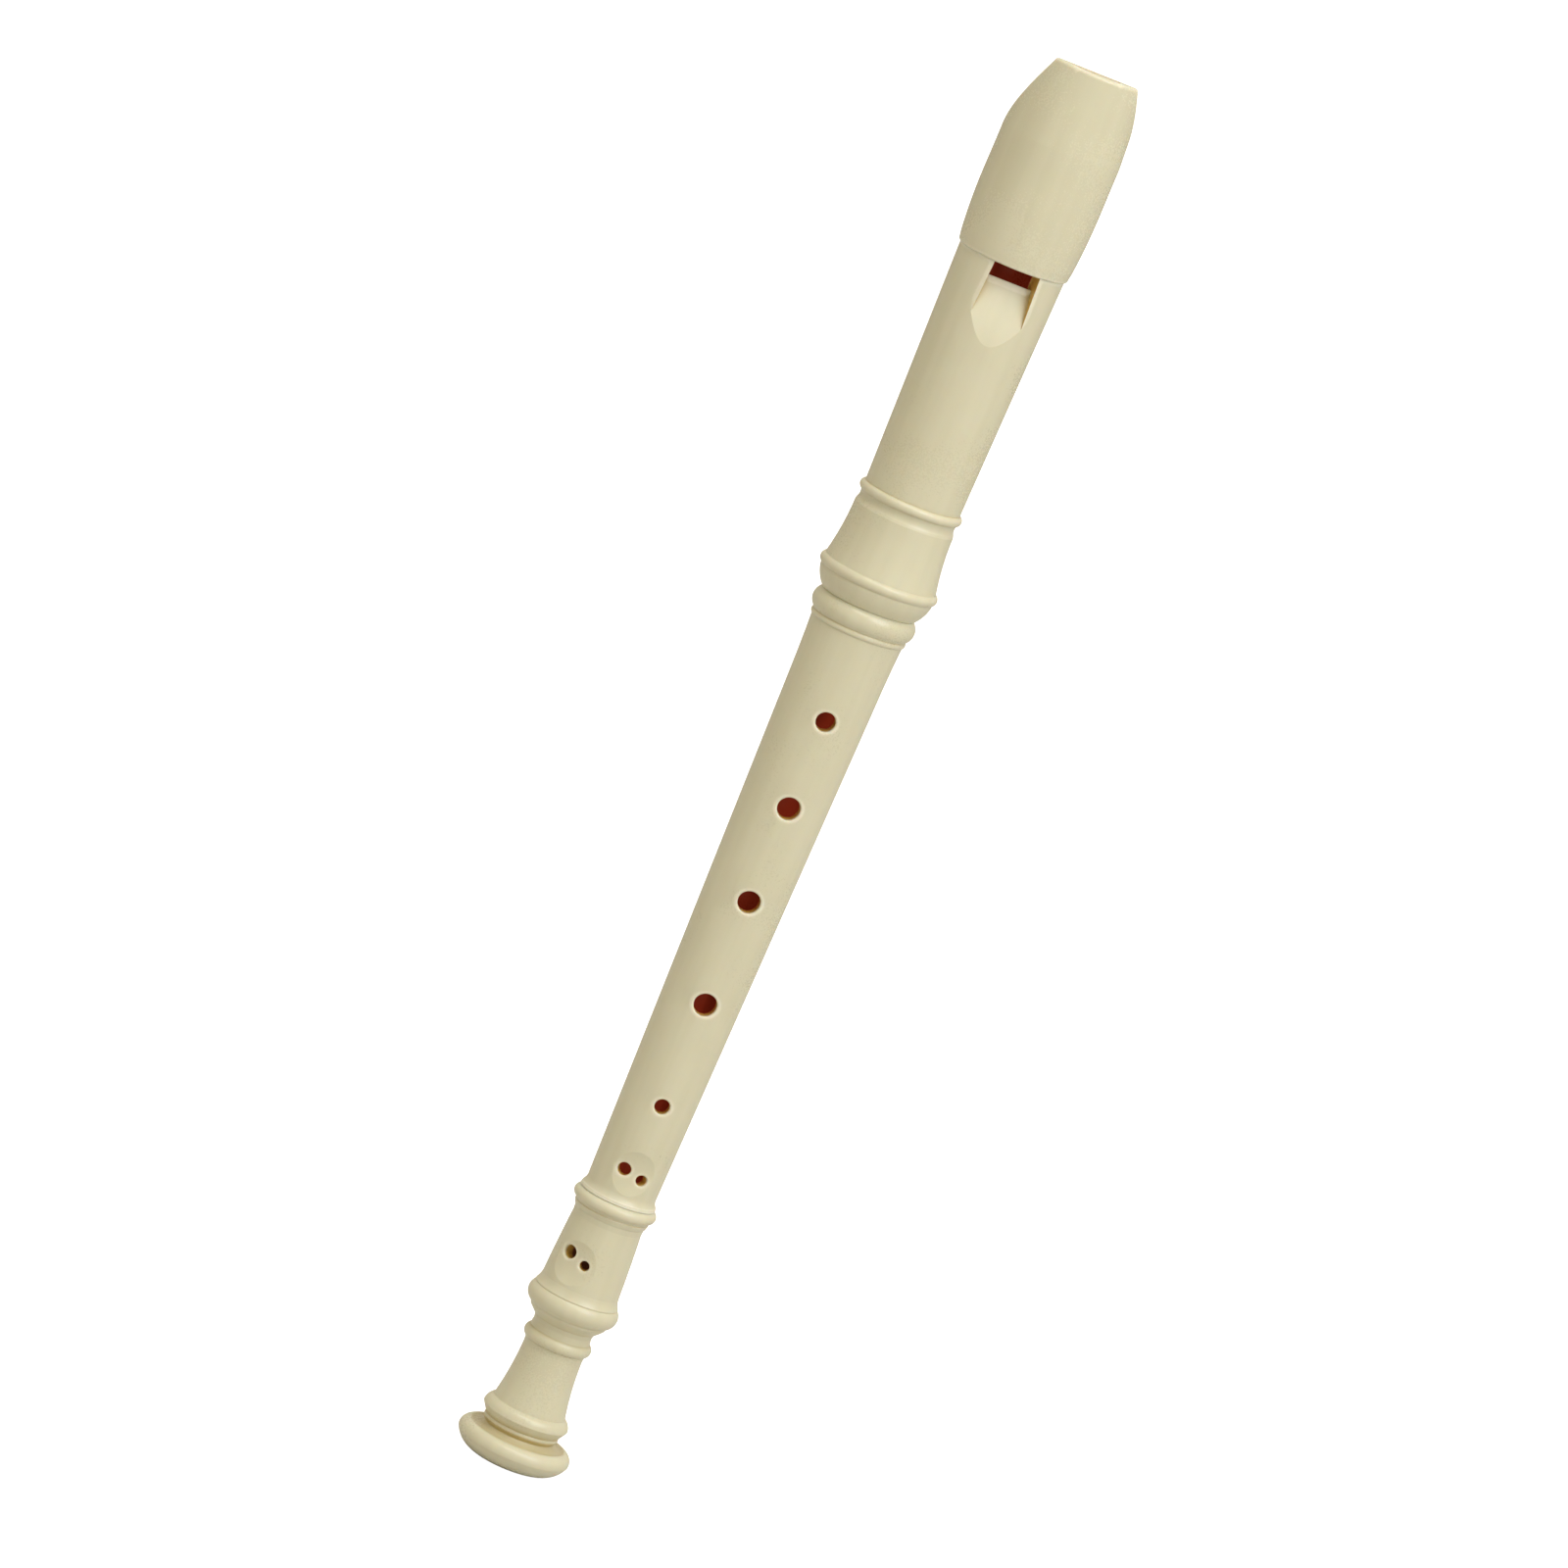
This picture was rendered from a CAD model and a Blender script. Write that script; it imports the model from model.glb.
"""Looks of a three-joint soprano recorder moulded in ivory ABS.

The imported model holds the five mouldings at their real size. This script dresses each of them, joint by
joint, and sets the recorder on a pale light table under soft studio light, seen from the front and leaning
to the right.
"""

import logging
import math
from dataclasses import dataclass, field
from enum import Enum
from typing import Iterable, Mapping, Sequence

import bpy
from mathutils import Matrix, Vector


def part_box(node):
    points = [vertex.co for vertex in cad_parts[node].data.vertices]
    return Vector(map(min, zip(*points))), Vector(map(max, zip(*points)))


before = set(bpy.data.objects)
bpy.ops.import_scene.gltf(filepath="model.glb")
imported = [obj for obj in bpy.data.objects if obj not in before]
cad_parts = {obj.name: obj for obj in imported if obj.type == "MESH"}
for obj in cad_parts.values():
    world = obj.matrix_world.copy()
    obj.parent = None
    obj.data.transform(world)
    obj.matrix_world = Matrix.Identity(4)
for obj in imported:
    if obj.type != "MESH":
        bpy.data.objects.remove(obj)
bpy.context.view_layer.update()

LOG = logging.getLogger("recorder")
MM = 0.001

Colour = tuple[float, float, float]
Value = float | tuple[float, ...]
Source = bpy.types.NodeSocket | Value

BLACK: Colour = (0.0, 0.0, 0.0)
WHITE: Colour = (1.0, 1.0, 1.0)


def rgba(colour: Colour) -> tuple[float, float, float, float]:
    """Return a colour with full alpha."""
    return (*colour, 1.0)


# --- Shader groups: the effects that the mouldings share ----------------------------------------------------


class SocketKind(Enum):
    """The kinds of socket that the groups use."""

    VALUE = "NodeSocketFloat"
    VECTOR = "NodeSocketVector"


@dataclass(frozen=True)
class Socket:
    """One named input or output of a shader group."""

    name: str
    kind: SocketKind = SocketKind.VALUE
    start: Value | None = None


@dataclass(frozen=True)
class Span:
    """A range of values, and what a smooth ramp gives at its two ends."""

    low: float
    high: float
    start: float = 0.0
    end: float = 1.0


class NodeSheet:
    """A node tree that is filled in by short calls."""

    def __init__(self, tree: bpy.types.NodeTree) -> None:
        """Keep the tree to be filled."""
        self.tree = tree

    def node(self, kind: str, **settings: object) -> bpy.types.Node:
        """Add a node and set its properties.

        Args:
            kind: The node's type, such as ShaderNodeMath.
            **settings: Properties of the node and their values.

        Returns:
            The new node.
        """
        made = self.tree.nodes.new(kind)
        for name, value in settings.items():
            setattr(made, name, value)
        return made

    def feed(self, target: bpy.types.NodeSocket, source: Source) -> None:
        """Link a socket to another, or give it a plain value.

        Args:
            target: The input socket to feed.
            source: An output socket to link, or the value to set.
        """
        if isinstance(source, bpy.types.NodeSocket):
            self.tree.links.new(source, target)
        else:
            target.default_value = source

    def fill(self, node: bpy.types.Node, sources: Mapping[str, Source]) -> None:
        """Feed several inputs of one node.

        Args:
            node: The node.
            sources: What feeds each input, by the input's name.
        """
        for name, source in sources.items():
            self.feed(node.inputs[name], source)

    def place(self, group: bpy.types.NodeTree, sources: Mapping[str, Source] | None = None) -> bpy.types.Node:
        """Put a shader group into the tree.

        Args:
            group: The group to place.
            sources: What feeds its inputs, by name; the others keep their starting values.

        Returns:
            The group's node.
        """
        made = self.node("ShaderNodeGroup", node_tree=group)
        self.fill(made, sources or {})
        return made

    def maths(self, operation: str, *values: Source, clamp: bool = False) -> bpy.types.NodeSocket:
        """Add a Math node.

        Args:
            operation: The operation's name, such as MULTIPLY.
            *values: Its inputs, linked or plain.
            clamp: Whether the result is held between 0 and 1.

        Returns:
            The result's socket.
        """
        made = self.node("ShaderNodeMath", operation=operation, use_clamp=clamp)
        for socket, value in zip(made.inputs, values):
            self.feed(socket, value)
        return made.outputs[0]

    def times(self, one: Source, other: Source, clamp: bool = False) -> bpy.types.NodeSocket:
        """Return the socket of two values' product."""
        return self.maths("MULTIPLY", one, other, clamp=clamp)

    def blend(self, one: Source, other: Source, share: float) -> bpy.types.NodeSocket:
        """Return the socket of a weighted mean, in which share is the first value's weight."""
        return self.maths("ADD", self.times(one, share), self.times(other, 1.0 - share))

    def between(self, value: Source, low: Source, high: Source) -> bpy.types.NodeSocket:
        """Find where a value lies inside a range.

        Args:
            value: The value to test.
            low: The range's lower end.
            high: The range's upper end.

        Returns:
            The socket of a mask, 1 inside the range and 0 outside it.
        """
        above = self.maths("GREATER_THAN", value, low)
        below = self.maths("LESS_THAN", value, high)
        return self.times(above, below)

    def place_of_point(self) -> bpy.types.NodeSocket:
        """Return the socket of the shaded point's place on the recorder at rest, in metres."""
        return self.node("ShaderNodeTexCoord").outputs["Object"]

    def split(self, vector: bpy.types.NodeSocket) -> bpy.types.NodeOutputs:
        """Divide a vector into its three parts.

        Args:
            vector: The vector's socket.

        Returns:
            The sockets X, Y and Z.
        """
        made = self.node("ShaderNodeSeparateXYZ")
        self.feed(made.inputs["Vector"], vector)
        return made.outputs

    def spread(self, parts: bpy.types.NodeOutputs) -> bpy.types.NodeSocket:
        """Measure how far a point lies from the bore's axis.

        Args:
            parts: The point's X, Y and Z.

        Returns:
            The distance's socket.
        """
        across = self.times(parts["X"], parts["X"])
        along = self.times(parts["Y"], parts["Y"])
        return self.maths("SQRT", self.maths("ADD", across, along))

    def stretch(self, vector: bpy.types.NodeSocket, scale: Value) -> bpy.types.NodeSocket:
        """Scale a place by a factor for each axis.

        Args:
            vector: The place's socket.
            scale: The three factors.

        Returns:
            The scaled place's socket.
        """
        made = self.node("ShaderNodeMapping", vector_type="POINT")
        self.fill(made, {"Scale": scale, "Vector": vector})
        return made.outputs["Vector"]

    def ramp(self, value: bpy.types.NodeSocket, span: Span) -> bpy.types.NodeSocket:
        """Map a value smoothly from one range to another.

        Args:
            value: The value to map.
            span: The range, and the results at its ends.

        Returns:
            The result's socket.
        """
        made = self.node("ShaderNodeMapRange", interpolation_type="SMOOTHSTEP")
        ends = {"From Min": span.low, "From Max": span.high, "To Min": span.start, "To Max": span.end}
        self.fill(made, {"Value": value, **ends})
        return made.outputs["Result"]

    def tint(self, amount: Source, under: Source, over: Source, mode: str = "MIX") -> bpy.types.NodeSocket:
        """Lay one colour over another.

        Args:
            amount: How much of the upper colour shows, from 0 to 1.
            under: The lower colour.
            over: The upper colour.
            mode: How they blend, such as MIX or MULTIPLY.

        Returns:
            The mixed colour's socket.
        """
        made = self.node("ShaderNodeMix", data_type="RGBA", blend_type=mode)
        self.feed(made.inputs["Factor"], amount)
        lower, upper = (socket for socket in made.inputs if socket.type == "RGBA")
        for socket, colour in ((lower, under), (upper, over)):
            self.feed(socket, colour if isinstance(colour, bpy.types.NodeSocket) else rgba(colour))
        return next(socket for socket in made.outputs if socket.type == "RGBA")

    def noise(
        self, vector: bpy.types.NodeSocket, scale: Source, detail: float = 3.0, roughness: float = 0.5
    ) -> bpy.types.NodeSocket:
        """Add a noise texture.

        Args:
            vector: The coordinates.
            scale: Blotches per metre.
            detail: How many finer layers it has.
            roughness: How strong the finer layers are.

        Returns:
            The noise value's socket, about 0.5 on average.
        """
        made = self.node("ShaderNodeTexNoise")
        self.fill(made, {"Vector": vector, "Scale": scale, "Detail": detail, "Roughness": roughness})
        return made.outputs["Fac"]


class GroupSheet(NodeSheet):
    """A shader node group with named sockets."""

    def __init__(self, name: str, inputs: Sequence[Socket], outputs: Sequence[Socket]) -> None:
        """Make the empty group.

        Args:
            name: The group's name.
            inputs: Its inputs, in order.
            outputs: Its outputs, in order.
        """
        super().__init__(bpy.data.node_groups.new(name, "ShaderNodeTree"))
        for sockets, way in ((inputs, "INPUT"), (outputs, "OUTPUT")):
            for socket in sockets:
                made = self.tree.interface.new_socket(socket.name, in_out=way, socket_type=socket.kind.value)
                if socket.start is not None:
                    made.default_value = socket.start
        self.inputs = self.node("NodeGroupInput").outputs
        self.outputs = self.node("NodeGroupOutput").inputs


# The mould's skin: how far the flow lines are drawn out, and how much each layer weighs.
FLOW_STRETCH = (1.0, 1.0, 0.035)
FLOW_IN_TONE = 0.45
GRAIN_IN_GLOSS = 0.4
GRAIN_IN_HEIGHT = 0.25

# How shut in a point is, from 0 in the open to 1, where the colour of grooves, holes and bore sets in.
SHADE_SAMPLES = 12
GROOVE_SHADE = Span(0.08, 0.5)
HOLE_SHADE = Span(0.42, 0.75)
BORE_SHADE = Span(0.72, 0.92)

# Worn edges: how thin the plastic is where wear starts and is full, and how patchy the wear is.
BEVEL_SAMPLES = 6
THIN_EDGE = Span(0.93, 0.68)
WEAR_PATCHES = Span(0.3, 0.7, 0.7, 1.0)

# The rubbed rings run right round, so they change slowly across the tube and quickly along it.
RING_STRETCH = (0.03, 0.03, 1.0)

# How squarely a wall has to face sideways to count as one of the window's cheeks.
FACES_SIDEWAYS = Span(0.7, 0.85)


def mould_skin_group() -> bpy.types.NodeTree:
    """Make the group for the skin that a polished steel mould leaves.

    It has a fine grain, long faint flow lines down the tube, and slow clouds of tone where the plastic
    cooled.

    Returns:
        The group, with outputs Tone, Gloss and Height that vary about 0.5.
    """
    sheet = GroupSheet(
        "mould_skin",
        [Socket("Grain", start=2600.0), Socket("Flow", start=420.0), Socket("Clouds", start=55.0)],
        [Socket("Tone"), Socket("Gloss"), Socket("Height")],
    )
    place = sheet.place_of_point()
    grain = sheet.noise(place, sheet.inputs["Grain"], detail=2.0)
    flow = sheet.noise(sheet.stretch(place, FLOW_STRETCH), sheet.inputs["Flow"], detail=2.0)
    clouds = sheet.noise(place, sheet.inputs["Clouds"], detail=3.0, roughness=0.45)
    sheet.feed(sheet.outputs["Tone"], sheet.blend(flow, clouds, FLOW_IN_TONE))
    sheet.feed(sheet.outputs["Gloss"], sheet.blend(grain, clouds, GRAIN_IN_GLOSS))
    sheet.feed(sheet.outputs["Height"], sheet.blend(grain, flow, GRAIN_IN_HEIGHT))
    return sheet.tree


def depth_group() -> bpy.types.NodeTree:
    """Make the group that finds how deep a point lies in a groove, a hole or the bore.

    The plastic lets a little light through, so the light that reaches a deep place has turned from ivory to
    ochre and then to a red brown.

    Returns:
        The group, with outputs Groove, Hole and Bore from 0 to 1.
    """
    sheet = GroupSheet(
        "depth_of_shade",
        [Socket("Groove reach", start=4.0 * MM), Socket("Bore reach", start=14.0 * MM)],
        [Socket("Groove"), Socket("Hole"), Socket("Bore")],
    )
    shut_in = {}
    for reach in ("Groove reach", "Bore reach"):
        shade = sheet.node("ShaderNodeAmbientOcclusion", samples=SHADE_SAMPLES, only_local=True)
        sheet.feed(shade.inputs["Distance"], sheet.inputs[reach])
        shut_in[reach] = sheet.maths("SUBTRACT", 1.0, shade.outputs["AO"])
    sheet.feed(sheet.outputs["Groove"], sheet.ramp(shut_in["Groove reach"], GROOVE_SHADE))
    sheet.feed(sheet.outputs["Hole"], sheet.ramp(shut_in["Bore reach"], HOLE_SHADE))
    sheet.feed(sheet.outputs["Bore"], sheet.ramp(shut_in["Bore reach"], BORE_SHADE))
    return sheet.tree


def worn_edge_group() -> bpy.types.NodeTree:
    """Make the group that finds outer edges, which hands and cloths polish.

    Returns:
        The group, with outputs Mask from 0 to 1 and Normal, which rounds the edge.
    """
    sheet = GroupSheet(
        "worn_edge",
        [
            Socket("Radius", start=0.2 * MM),
            Socket("Reach", start=1.2 * MM),
            Socket("Patchiness", start=900.0),
        ],
        [Socket("Mask"), Socket("Normal", SocketKind.VECTOR)],
    )
    rounded = sheet.node("ShaderNodeBevel", samples=BEVEL_SAMPLES)
    sheet.feed(rounded.inputs["Radius"], sheet.inputs["Radius"])
    inner = sheet.node("ShaderNodeAmbientOcclusion", samples=SHADE_SAMPLES, only_local=True, inside=True)
    sheet.feed(inner.inputs["Distance"], sheet.inputs["Reach"])
    thin = sheet.ramp(inner.outputs["AO"], THIN_EDGE)
    patches = sheet.ramp(sheet.noise(sheet.place_of_point(), sheet.inputs["Patchiness"]), WEAR_PATCHES)
    sheet.feed(sheet.outputs["Mask"], sheet.times(thin, patches, clamp=True))
    sheet.feed(sheet.outputs["Normal"], rounded.outputs["Normal"])
    return sheet.tree


def turned_band_group() -> bpy.types.NodeTree:
    """Make the group for the fine rings that twisting a joint rubs into its tenon and socket.

    Returns:
        The group, with outputs Mask, which is 1 between the heights Low and High, and Height.
    """
    sheet = GroupSheet(
        "turned_band",
        [Socket("Low"), Socket("High"), Socket("Within", start=9.0 * MM), Socket("Rings", start=3800.0)],
        [Socket("Mask"), Socket("Height")],
    )
    place = sheet.place_of_point()
    parts = sheet.split(place)
    inside = sheet.between(parts["Z"], sheet.inputs["Low"], sheet.inputs["High"])
    near = sheet.maths("LESS_THAN", sheet.spread(parts), sheet.inputs["Within"])
    sheet.feed(sheet.outputs["Mask"], sheet.times(inside, near))
    rings = sheet.noise(sheet.stretch(place, RING_STRETCH), sheet.inputs["Rings"], detail=2.0)
    sheet.feed(sheet.outputs["Height"], rings)
    return sheet.tree


def wall_depth_group() -> bpy.types.NodeTree:
    """Make the group that says how far through a tapering tube's wall a point of a finger hole lies.

    The wall's outside and the bore each have a radius at the height Low and another at High.

    Returns:
        The group, with output Depth: 0 outside, 1 at the bore, and 0 above High and below Low.
    """
    sheet = GroupSheet(
        "wall_depth",
        [Socket(name) for name in ("Low", "High", "Outside low", "Outside high", "Bore low", "Bore high")],
        [Socket("Depth")],
    )
    parts = sheet.split(sheet.place_of_point())
    low, high = sheet.inputs["Low"], sheet.inputs["High"]
    radii = {}
    for side in ("Outside", "Bore"):
        taper = sheet.node("ShaderNodeMapRange", clamp=False)
        ends = {"To Min": sheet.inputs[f"{side} low"], "To Max": sheet.inputs[f"{side} high"]}
        sheet.fill(taper, {"Value": parts["Z"], "From Min": low, "From Max": high, **ends})
        radii[side] = taper.outputs["Result"]
    gone = sheet.maths("SUBTRACT", radii["Outside"], sheet.spread(parts))
    wall = sheet.maths("SUBTRACT", radii["Outside"], radii["Bore"])
    through = sheet.maths("DIVIDE", gone, wall, clamp=True)
    sheet.feed(sheet.outputs["Depth"], sheet.times(through, sheet.between(parts["Z"], low, high)))
    return sheet.tree


def cheek_group() -> bpy.types.NodeTree:
    """Make the group that finds the two cheeks of the window, the side walls of its cut.

    Returns:
        The group, with output Mask, which is 1 on walls that face sideways between the heights Low and High.
    """
    sheet = GroupSheet("window_cheek", [Socket("Low"), Socket("High"), Socket("Reach")], [Socket("Mask")])
    parts = sheet.split(sheet.place_of_point())
    facing = sheet.split(sheet.node("ShaderNodeTexCoord").outputs["Normal"])
    sideways = sheet.ramp(sheet.maths("ABSOLUTE", facing["X"]), FACES_SIDEWAYS)
    inside = sheet.between(parts["Z"], sheet.inputs["Low"], sheet.inputs["High"])
    within = sheet.maths("LESS_THAN", sheet.maths("ABSOLUTE", parts["X"]), sheet.inputs["Reach"])
    sheet.feed(sheet.outputs["Mask"], sheet.times(sideways, sheet.times(inside, within)))
    return sheet.tree


@dataclass(frozen=True)
class Effects:
    """The shader groups, built once and placed in every material."""

    skin: bpy.types.NodeTree
    depth: bpy.types.NodeTree
    edge: bpy.types.NodeTree
    band: bpy.types.NodeTree
    wall: bpy.types.NodeTree
    cheek: bpy.types.NodeTree

    @classmethod
    def build(cls) -> "Effects":
        """Build all six groups.

        Returns:
            The groups.
        """
        return cls(
            mould_skin_group(),
            depth_group(),
            worn_edge_group(),
            turned_band_group(),
            wall_depth_group(),
            cheek_group(),
        )


# --- Finishes -----------------------------------------------------------------------------------------------


class Gloss(Enum):
    """How bright a moulding comes out of its mould, as the roughness of its skin."""

    POLISHED = 0.25
    SATIN = 0.3
    MATT = 0.55


@dataclass(frozen=True)
class TurnedBand:
    """A stretch of tenon or socket that is rubbed by its mate, in metres."""

    low: float
    high: float
    within: float

    def inputs(self) -> dict[str, float]:
        """Return the values for the turned_band group, by input name."""
        return {"Low": self.low, "High": self.high, "Within": self.within}


@dataclass(frozen=True)
class DrilledWall:
    """The tapering wall that the finger holes go through: heights, then radii at the low and the high end."""

    low: float
    high: float
    outside: tuple[float, float]
    bore: tuple[float, float]

    def inputs(self) -> dict[str, float]:
        """Return the values for the wall_depth group, by input name."""
        outside = dict(zip(("Outside low", "Outside high"), self.outside))
        bore = dict(zip(("Bore low", "Bore high"), self.bore))
        return {"Low": self.low, "High": self.high, **outside, **bore}


@dataclass(frozen=True)
class WindowCheeks:
    """Where the side walls of the window's cut lie: heights, and how far from the middle they reach."""

    low: float
    high: float
    reach: float

    def inputs(self) -> dict[str, float]:
        """Return the values for the window_cheek group, by input name."""
        return {"Low": self.low, "High": self.high, "Reach": self.reach}


@dataclass(frozen=True)
class AbsFinish:
    """Ivory ABS: a warm, slightly translucent plastic with a soft gloss."""

    name: str
    gloss: Gloss = Gloss.SATIN
    ivory: Colour = (0.640, 0.612, 0.437)
    pale: Colour = (0.670, 0.642, 0.467)
    groove: Colour = (0.76, 0.63, 0.36)
    ochre: Colour = (0.62, 0.40, 0.09)
    deep: Colour = (0.30, 0.06, 0.02)
    glow: Colour = (0.10, 0.011, 0.004)
    worn: Colour = (0.785, 0.755, 0.60)
    bands: tuple[TurnedBand, ...] = ()
    drilled: DrilledWall | None = None
    cheeks: WindowCheeks | None = None
    clouded: Span = Span(0.35, 0.65)
    ochre_wall: Span = Span(0.22, 0.4)
    deep_wall: Span = Span(0.8, 0.99)
    uneven_glow: Span = Span(0.4, 0.62, 0.35, 1.0)
    gloss_range: tuple[float, float] = (0.3, 0.7)
    brighter: float = 0.04
    duller: float = 0.05
    ring_height: float = 2.0
    ring_polish: float = 0.12
    bump_strength: float = 0.35
    bump_depth: float = 0.02 * MM
    ior: float = 1.53
    translucence: float = 0.3
    light_spread: Colour = (1.0, 0.55, 0.25)
    light_reach: float = 1.6 * MM

    def build(self, effects: Effects) -> bpy.types.Material:
        """Make the material.

        Args:
            effects: The shared shader groups.

        Returns:
            The finished material.
        """
        material = bpy.data.materials.new(self.name)
        material.use_nodes = True
        material.node_tree.nodes.clear()
        sheet = NodeSheet(material.node_tree)
        skin = sheet.place(effects.skin)
        edge = sheet.place(effects.edge)
        hole, bore, shade = self.find_depths(sheet, effects)
        colour = sheet.tint(sheet.ramp(skin.outputs["Tone"], self.clouded), self.ivory, self.pale)
        colour = sheet.tint(shade, colour, self.groove, "MULTIPLY")
        colour = sheet.tint(edge.outputs["Mask"], colour, self.worn)
        colour = sheet.tint(hole, colour, self.ochre)
        colour = sheet.tint(bore, colour, self.deep)
        rough, height = self.rub(sheet, effects, skin)
        bump = sheet.node("ShaderNodeBump")
        relief = {"Strength": self.bump_strength, "Distance": self.bump_depth, "Height": height}
        sheet.fill(bump, {**relief, "Normal": edge.outputs["Normal"]})
        shine_through = sheet.times(bore, sheet.ramp(skin.outputs["Tone"], self.uneven_glow))
        shader = sheet.node("ShaderNodeBsdfPrincipled", subsurface_method="RANDOM_WALK")
        sheet.fill(shader, {
            "Base Color": colour,
            "Roughness": rough,
            "Normal": bump.outputs["Normal"],
            "IOR": self.ior,
            "Emission Color": sheet.tint(shine_through, BLACK, self.glow),
            "Emission Strength": 1.0,
            "Subsurface Weight": self.translucence,
            "Subsurface Radius": self.light_spread,
            "Subsurface Scale": self.light_reach,
        })
        out = sheet.node("ShaderNodeOutputMaterial")
        sheet.feed(out.inputs["Surface"], shader.outputs["BSDF"])
        return material

    def find_depths(self, sheet: NodeSheet, effects: Effects) -> tuple[bpy.types.NodeSocket, ...]:
        """Find the deep places that take another colour.

        Args:
            sheet: The material's sheet.
            effects: The shared shader groups.

        Returns:
            The sockets of three masks: holes, bore and grooves.
        """
        depth = sheet.place(effects.depth)
        hole, bore = depth.outputs["Hole"], depth.outputs["Bore"]
        if self.drilled:
            wall = sheet.place(effects.wall, self.drilled.inputs())
            hole = sheet.ramp(wall.outputs["Depth"], self.ochre_wall)
            bore = sheet.ramp(wall.outputs["Depth"], self.deep_wall)
        if self.cheeks:
            cheeks = sheet.place(effects.cheek, self.cheeks.inputs())
            hole = sheet.maths("MAXIMUM", hole, cheeks.outputs["Mask"])
        return hole, bore, depth.outputs["Groove"]

    def rub(
        self, sheet: NodeSheet, effects: Effects, skin: bpy.types.Node
    ) -> tuple[bpy.types.NodeSocket, bpy.types.NodeSocket]:
        """Work out the roughness and the relief, with the rubbed bands in both.

        Args:
            sheet: The material's sheet.
            effects: The shared shader groups.
            skin: The mould skin's node.

        Returns:
            The sockets of the roughness and of the height.
        """
        gloss = self.gloss.value
        low, high = self.gloss_range
        rough = sheet.ramp(skin.outputs["Gloss"], Span(low, high, gloss - self.brighter, gloss + self.duller))
        height = skin.outputs["Height"]
        for band in self.bands:
            rubbed = sheet.place(effects.band, band.inputs())
            mask = rubbed.outputs["Mask"]
            rings = sheet.times(rubbed.outputs["Height"], mask)
            height = sheet.maths("ADD", height, sheet.times(rings, self.ring_height))
            rough = sheet.maths("SUBTRACT", rough, sheet.times(mask, self.ring_polish), clamp=True)
        return rough, height


# --- The recorder's joints ----------------------------------------------------------------------------------


@dataclass
class Joint:
    """A joint of the recorder: the mouldings that are glued or cast as one."""

    effects: Effects
    body: str = ""
    nodes: tuple[str, ...] = ()

    def finishes(self) -> dict[str, AbsFinish]:
        """Return the finish of each node; each kind of joint says its own."""
        raise NotImplementedError

    def dress(self) -> None:
        """Give every moulding its finish and report it."""
        finishes = self.finishes()
        for name in self.nodes:
            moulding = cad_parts[name]
            material = finishes[name].build(self.effects)
            for slot in moulding.material_slots:
                slot.material = material
            LOG.info("%s: %s rides on %s in %s", type(self).__name__, name, self.body, material.name)


@dataclass
class HeadJoint(Joint):
    """The head: window and ramp, ring, ridge and socket, with the sleeve of the beak and its block."""

    body: str = "head"
    nodes: tuple[str, ...] = ("head_tube", "beak_cap", "fipple_block")
    socket_r: float = 8.5 * MM
    socket_length: float = 19.8 * MM
    window_low: float = 267.0 * MM
    window_high: float = 286.1 * MM
    window_reach: float = 6.4 * MM
    bore_wall: DrilledWall = DrilledWall(226.0 * MM, 286.1 * MM, (7.2 * MM, 7.2 * MM), (6.64 * MM, 6.64 * MM))

    def window_cheeks(self) -> WindowCheeks:
        """Return where the side walls of the window's cut lie."""
        return WindowCheeks(self.window_low, self.window_high, self.window_reach)

    def finishes(self) -> dict[str, AbsFinish]:
        """Choose the tube's, the sleeve's and the block's finish.

        Returns:
            The finishes, by node.
        """
        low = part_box("head_tube")[0].z
        rubbed = TurnedBand(low, low + self.socket_length, self.socket_r)
        return {
            "head_tube": AbsFinish(
                "head_tube_abs", bands=(rubbed,), drilled=self.bore_wall, cheeks=self.window_cheeks()
            ),
            "beak_cap": AbsFinish("beak_abs", gloss=Gloss.POLISHED),
            "fipple_block": AbsFinish("block_abs_matt", gloss=Gloss.MATT),
        }


@dataclass
class MiddleJoint(Joint):
    """The middle joint: the tapering tube with its finger holes, between two tenons."""

    body: str = "middle"
    nodes: tuple[str, ...] = ("middle_joint",)
    head_tenon_r: float = 8.45 * MM
    foot_tenon_r: float = 6.8 * MM
    tube: DrilledWall = DrilledWall(66.5 * MM, 198.0 * MM, (7.97 * MM, 10.32 * MM), (5.07 * MM, 6.15 * MM))

    def finishes(self) -> dict[str, AbsFinish]:
        """Choose the tube's finish, rubbed at both tenons.

        Returns:
            The finish, by node.
        """
        low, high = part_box("middle_joint")
        head_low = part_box("head_tube")[0].z
        foot_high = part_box("foot_joint")[1].z
        head_tenon = TurnedBand(head_low, high.z, self.head_tenon_r)
        foot_tenon = TurnedBand(low.z, foot_high, self.foot_tenon_r)
        return {"middle_joint": AbsFinish("middle_abs", bands=(head_tenon, foot_tenon), drilled=self.tube)}


@dataclass
class FootJoint(Joint):
    """The foot: barrel with the little finger's holes, bulge, collar, stem and bell."""

    body: str = "foot"
    nodes: tuple[str, ...] = ("foot_joint",)
    socket_r: float = 6.85 * MM
    socket_length: float = 10.3 * MM
    barrel: DrilledWall = DrilledWall(42.8 * MM, 53.0 * MM, (8.85 * MM, 8.3 * MM), (5.17 * MM, 5.17 * MM))
    barrel_glow: Colour = (0.03, 0.012, 0.004)

    def finishes(self) -> dict[str, AbsFinish]:
        """Choose the foot's finish, rubbed inside its socket.

        Returns:
            The finish, by node.
        """
        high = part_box("foot_joint")[1].z
        rubbed = TurnedBand(high - self.socket_length, high, self.socket_r)
        finish = AbsFinish("foot_abs", glow=self.barrel_glow, bands=(rubbed,), drilled=self.barrel)
        return {"foot_joint": finish}


# --- Studio -------------------------------------------------------------------------------------------------


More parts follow.
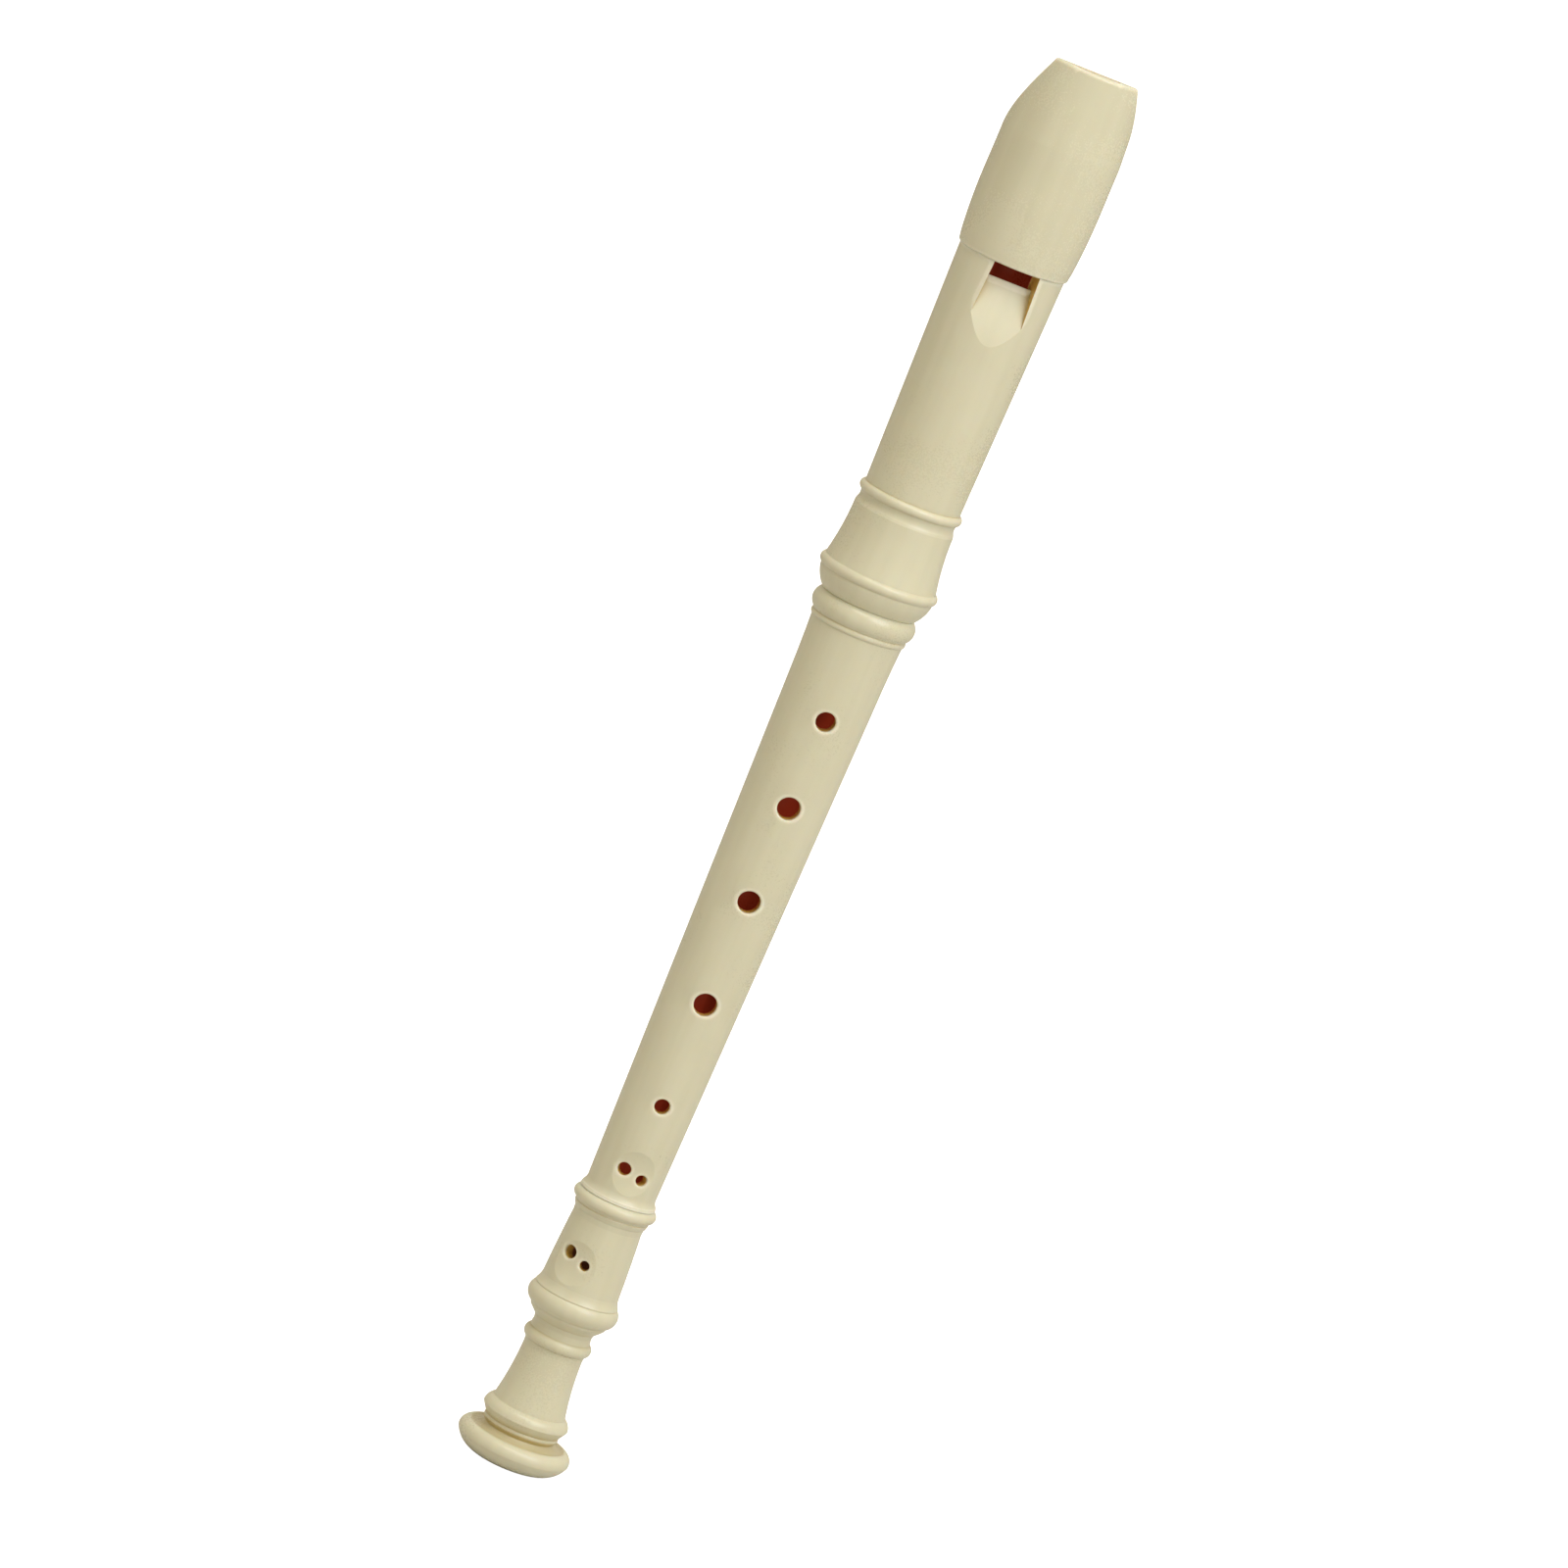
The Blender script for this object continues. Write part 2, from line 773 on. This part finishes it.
def around(azimuth: float, elevation: float) -> Vector:
    """Give the direction from the recorder towards a place round it.

    Args:
        azimuth: Degrees from the front line, positive towards +X.
        elevation: Degrees above the horizon.

    Returns:
        A unit vector.
    """
    a = math.radians(azimuth)
    e = math.radians(elevation)
    return Vector((math.sin(a) * math.cos(e), -math.cos(a) * math.cos(e), math.sin(e)))


@dataclass(frozen=True)
class SoftBox:
    """One square soft light, in metres and watts."""

    name: str
    azimuth: float
    elevation: float
    distance: float
    side: float
    power: float
    colour: Colour = WHITE

    def build(self, aim: Vector) -> None:
        """Hang the light so that it faces a point.

        Args:
            aim: The point that it lights.
        """
        data = bpy.data.lights.new(self.name, "AREA")
        data.shape = "SQUARE"
        data.size = self.side
        data.energy = self.power
        data.color = self.colour
        lamp = bpy.data.objects.new(self.name, data)
        back = around(self.azimuth, self.elevation)
        lamp.location = aim + back * self.distance
        lamp.rotation_euler = (-back).to_track_quat("-Z", "Y").to_euler()
        bpy.context.scene.collection.objects.link(lamp)


@dataclass
class Studio:
    """A pale light table under soft light, and the camera in front of it."""

    aim: Vector = field(default_factory=lambda: Vector((-1.6 * MM, 0.0, 162.1 * MM)))
    azimuth: float = -9.2
    elevation: float = 10.3
    distance: float = 2.4
    lens: float = 255.6
    lean: float = 22.86
    sensor: float = 36.0
    sight: float = 100.0
    table_r: float = 60.0
    table_sides: int = 96
    table_colour: Colour = (0.62, 0.61, 0.59)
    table_roughness: float = 0.9
    table_shine: float = 0.1
    table_glow: float = 1.0
    surround: Colour = (0.65, 0.585, 0.475)
    lights: tuple[SoftBox, ...] = (
        SoftBox(
            "key_softbox",
            azimuth=35.0,
            elevation=42.0,
            distance=1.6,
            side=1.0,
            power=12.0,
            colour=(0.97, 1.0, 1.08),
        ),
        SoftBox("top_softbox", azimuth=-15.0, elevation=66.0, distance=1.6, side=0.7, power=6.5),
    )

    def build(self) -> None:
        """Set the table, the surround, the lights and the camera."""
        self.lay_table()
        self.light_surround()
        for light in self.lights:
            light.build(self.aim)
            LOG.info("Studio: %s hangs at %.0f degrees", light.name, light.azimuth)
        self.place_camera()
        bpy.context.scene.view_settings.view_transform = "Standard"

    def lay_table(self) -> None:
        """Lay a wide round table top under the bell, white to the camera and grey to the light."""
        turns = [math.tau * k / self.table_sides for k in range(self.table_sides)]
        rim = [(self.table_r * math.cos(turn), self.table_r * math.sin(turn), 0.0) for turn in turns]
        mesh = bpy.data.meshes.new("light_table")
        mesh.from_pydata(rim, [], [tuple(range(self.table_sides))])
        table = bpy.data.objects.new("light_table", mesh)
        bpy.context.scene.collection.objects.link(table)
        material = bpy.data.materials.new("light_table")
        material.use_nodes = True
        sheet = NodeSheet(material.node_tree)
        seen = sheet.node("ShaderNodeLightPath").outputs["Is Camera Ray"]
        sheet.fill(material.node_tree.nodes["Principled BSDF"], {
            "Base Color": rgba(self.table_colour),
            "Roughness": self.table_roughness,
            "Specular IOR Level": self.table_shine,
            "Emission Color": rgba(WHITE),
            "Emission Strength": sheet.times(seen, self.table_glow),
        })
        mesh.materials.append(material)
        LOG.info("Studio: table laid")

    def light_surround(self) -> None:
        """Light the room evenly from all round."""
        world = bpy.data.worlds.new("surround")
        world.use_nodes = True
        world.node_tree.nodes["Background"].inputs["Color"].default_value = rgba(self.surround)
        bpy.context.scene.world = world

    def place_camera(self) -> None:
        """Stand the camera in front, rolled so that the recorder leans to the right."""
        back = around(self.azimuth, self.elevation)
        a = math.radians(self.azimuth)
        level = Vector((math.cos(a), math.sin(a), 0.0))
        upright = back.cross(level)
        lean = math.radians(self.lean)
        right = level * math.cos(lean) + upright * math.sin(lean)
        up = back.cross(right)
        data = bpy.data.cameras.new("camera")
        data.lens = self.lens
        data.sensor_width = self.sensor
        data.clip_end = self.sight
        camera = bpy.data.objects.new("camera", data)
        turn = Matrix((right, up, back)).transposed().to_4x4()
        camera.matrix_world = Matrix.Translation(self.aim + back * self.distance) @ turn
        bpy.context.scene.collection.objects.link(camera)
        bpy.context.scene.camera = camera


def main() -> None:
    """Dress the recorder joint by joint and set up the studio."""
    logging.basicConfig(level=logging.INFO, format="%(name)s: %(message)s")
    effects = Effects.build()
    for joint in (HeadJoint(effects=effects), MiddleJoint(effects=effects), FootJoint(effects=effects)):
        joint.dress()
    Studio().build()


if __name__ == "__main__":
    main()
